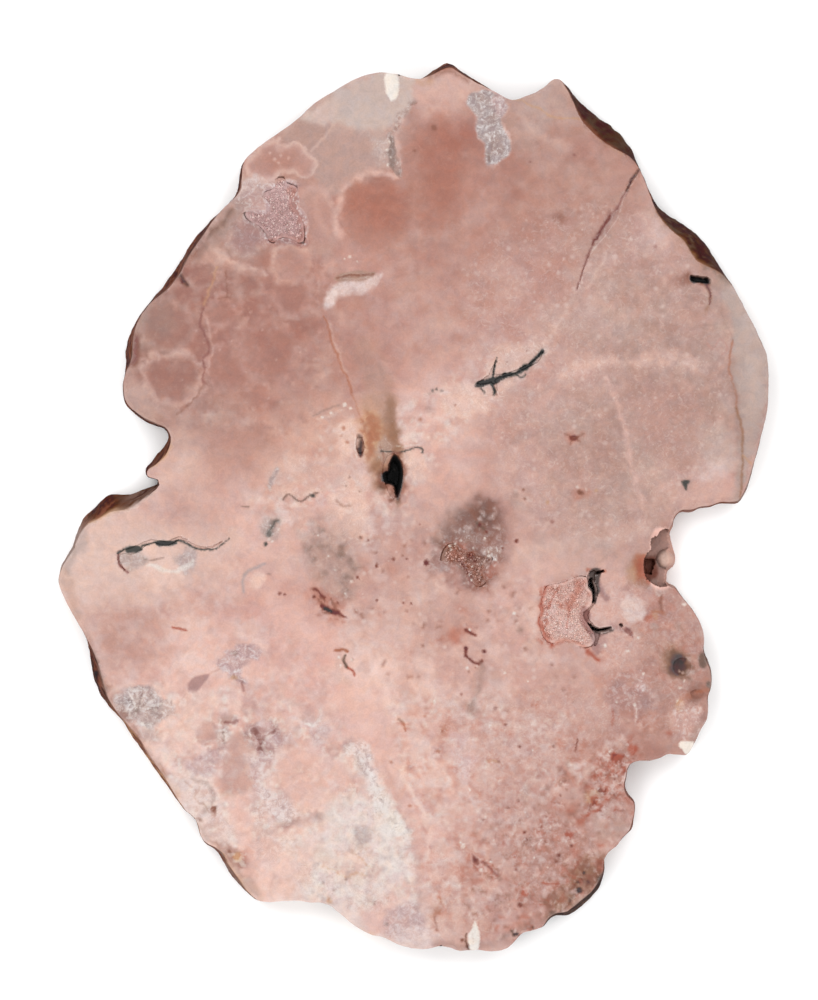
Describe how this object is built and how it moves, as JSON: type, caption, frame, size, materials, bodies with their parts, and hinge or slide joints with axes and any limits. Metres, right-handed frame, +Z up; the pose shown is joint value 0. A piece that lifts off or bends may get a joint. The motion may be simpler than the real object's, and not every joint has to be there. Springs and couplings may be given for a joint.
{
  "type": "pink amethyst slab",
  "caption": "Flat polished slab of pink amethyst with a brown natural rind, crystal-lined hollows and dark fissures, lying face up.",
  "frame": {"origin": "under the middle of the slab's outline, on the surface that it rests on", "axes": "+Z up out of the polished face, +Y along the slab's length toward its two-peaked end, +X across it"},
  "size_m": [0.2378, 0.2973, 0.018],
  "materials": {
    "polished_amethyst": "polished",
    "lavender_quartz": "natural crystal faces",
    "smoky_quartz": "natural crystal faces",
    "rusty_quartz": "natural crystal faces"
  },
  "bodies": {
    "root": {"slab": "polished_amethyst", "amethyst_crystals": "lavender_quartz", "smoky_crystals": "smoky_quartz", "east_hollow_crystals": "rusty_quartz"}
  },
  "joints": []
}
